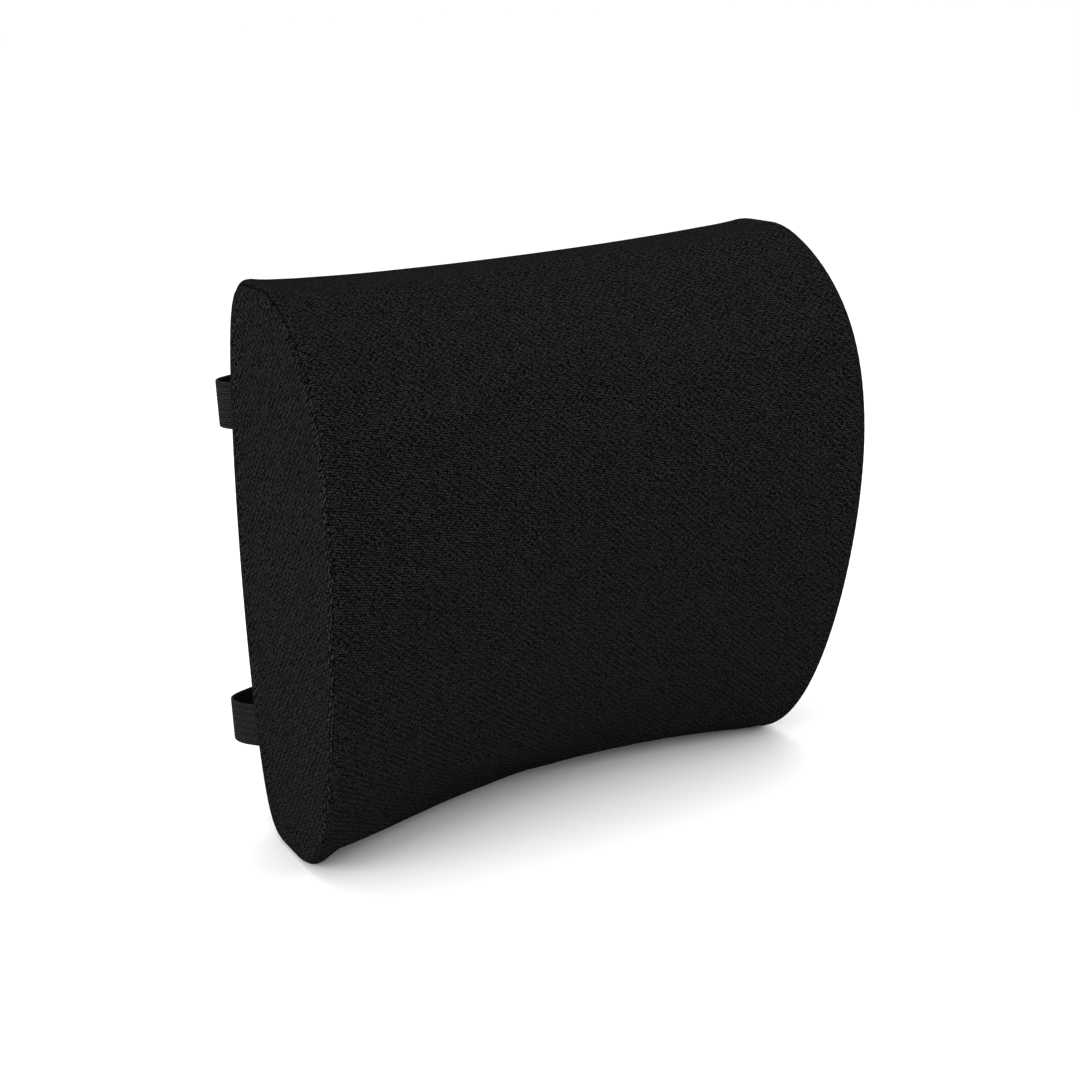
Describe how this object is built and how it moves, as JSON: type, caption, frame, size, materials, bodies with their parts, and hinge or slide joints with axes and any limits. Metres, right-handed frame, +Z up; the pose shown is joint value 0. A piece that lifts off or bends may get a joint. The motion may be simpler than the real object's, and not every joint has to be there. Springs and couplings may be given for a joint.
{
  "type": "lumbar support cushion",
  "caption": "Curved, D-section lumbar cushion for a chair: foam pad in a zipped knit cover, with two elastic straps that buckle round the chair back.",
  "frame": {"origin": "on the surface the cushion stands on, under the middle of the whole part's width and depth", "axes": "+Z up as it is worn, -Y towards the sitter (the rounded concave side), +Y towards the chair back, +X along the width"},
  "size_m": [0.3388, 0.165, 0.3173],
  "materials": {
    "foam": "matte open-cell memory foam",
    "liner_cloth": "thin plain-woven cloth",
    "cover_knit": "matte spacer knit with small dashed rows",
    "zip_tape": "matte woven tape",
    "zip_coil": "satin moulded coil",
    "zip_metal": "satin black enamel",
    "elastic_webbing": "ribbed elastic webbing",
    "buckle_plastic": "fine-grained moulded plastic"
  },
  "bodies": {
    "cushion": {"foam_core": "foam", "inner_liner": "liner_cloth", "cover_front_panel": "cover_knit", "cover_left_end_panel": "cover_knit", "cover_right_end_panel": "cover_knit", "cover_back_upper_panel": "cover_knit", "cover_back_lower_panel": "cover_knit", "zip_upper_tape": "zip_tape", "zip_lower_tape": "zip_tape", "zip_upper_coil": "zip_coil", "zip_lower_coil": "zip_coil", "zip_end_stops": "zip_metal", "upper_strap_left": "elastic_webbing", "upper_strap_right": "elastic_webbing", "upper_buckle_socket": "buckle_plastic", "lower_strap_left": "elastic_webbing", "lower_strap_right": "elastic_webbing", "lower_buckle_socket": "buckle_plastic"},
    "zip_slider": {"zip_slider": "zip_metal"},
    "zip_pull": {"zip_pull": "zip_metal"},
    "upper_plug": {"upper_buckle_plug": "buckle_plastic"},
    "upper_top_arm": {"upper_buckle_top_arm": "buckle_plastic"},
    "upper_bottom_arm": {"upper_buckle_bottom_arm": "buckle_plastic"},
    "upper_adjuster": {"upper_strap_adjuster": "buckle_plastic"},
    "lower_plug": {"lower_buckle_plug": "buckle_plastic"},
    "lower_top_arm": {"lower_buckle_top_arm": "buckle_plastic"},
    "lower_bottom_arm": {"lower_buckle_bottom_arm": "buckle_plastic"},
    "lower_adjuster": {"lower_strap_adjuster": "buckle_plastic"}
  },
  "joints": [
    {"name": "zip_travel", "type": "hinge", "parent": "cushion", "child": "zip_slider", "pos_m": [0, -0.49957, 0.118], "axis": [0, 0, 1], "range_deg": [0, 25.4], "deforming": ["zip_upper_coil", "zip_lower_coil"]},
    {"name": "zip_pull_swing", "type": "hinge", "parent": "zip_slider", "child": "zip_pull", "pos_m": [0.12608, 0.0578, 0.118], "axis": [0.9754, -0.2206, 0], "range_deg": [0, 170]},
    {"name": "upper_buckle_release", "type": "slide", "parent": "cushion", "child": "upper_plug", "axis": [1, 0, 0], "range_m": [0, 0.025], "deforming": ["upper_strap_right", "upper_buckle_top_arm", "upper_buckle_bottom_arm"]},
    {"name": "upper_top_arm_squeeze", "type": "hinge", "parent": "upper_plug", "child": "upper_top_arm", "pos_m": [0.0046, 0.06921, 0.261], "axis": [0, -1, 0], "range_deg": [0, 15], "stiffness_Nm_per_rad": 0.3},
    {"name": "upper_bottom_arm_squeeze", "type": "hinge", "parent": "upper_plug", "child": "upper_bottom_arm", "pos_m": [0.0046, 0.06921, 0.239], "axis": [0, 1, 0], "range_deg": [0, 15], "stiffness_Nm_per_rad": 0.3},
    {"name": "upper_adjuster_slide", "type": "slide", "parent": "upper_plug", "child": "upper_adjuster", "axis": [1, 0, 0], "range_m": [-0.012, 0.018], "deforming": ["upper_strap_right"]},
    {"name": "lower_buckle_release", "type": "slide", "parent": "cushion", "child": "lower_plug", "axis": [1, 0, 0], "range_m": [0, 0.025], "deforming": ["lower_strap_right", "lower_buckle_top_arm", "lower_buckle_bottom_arm"]},
    {"name": "lower_top_arm_squeeze", "type": "hinge", "parent": "lower_plug", "child": "lower_top_arm", "pos_m": [0.0046, 0.07804, 0.077], "axis": [0, -1, 0], "range_deg": [0, 15], "stiffness_Nm_per_rad": 0.3},
    {"name": "lower_bottom_arm_squeeze", "type": "hinge", "parent": "lower_plug", "child": "lower_bottom_arm", "pos_m": [0.0046, 0.07804, 0.055], "axis": [0, 1, 0], "range_deg": [0, 15], "stiffness_Nm_per_rad": 0.3},
    {"name": "lower_adjuster_slide", "type": "slide", "parent": "lower_plug", "child": "lower_adjuster", "axis": [1, 0, 0], "range_m": [-0.012, 0.018], "deforming": ["lower_strap_right"]}
  ]
}
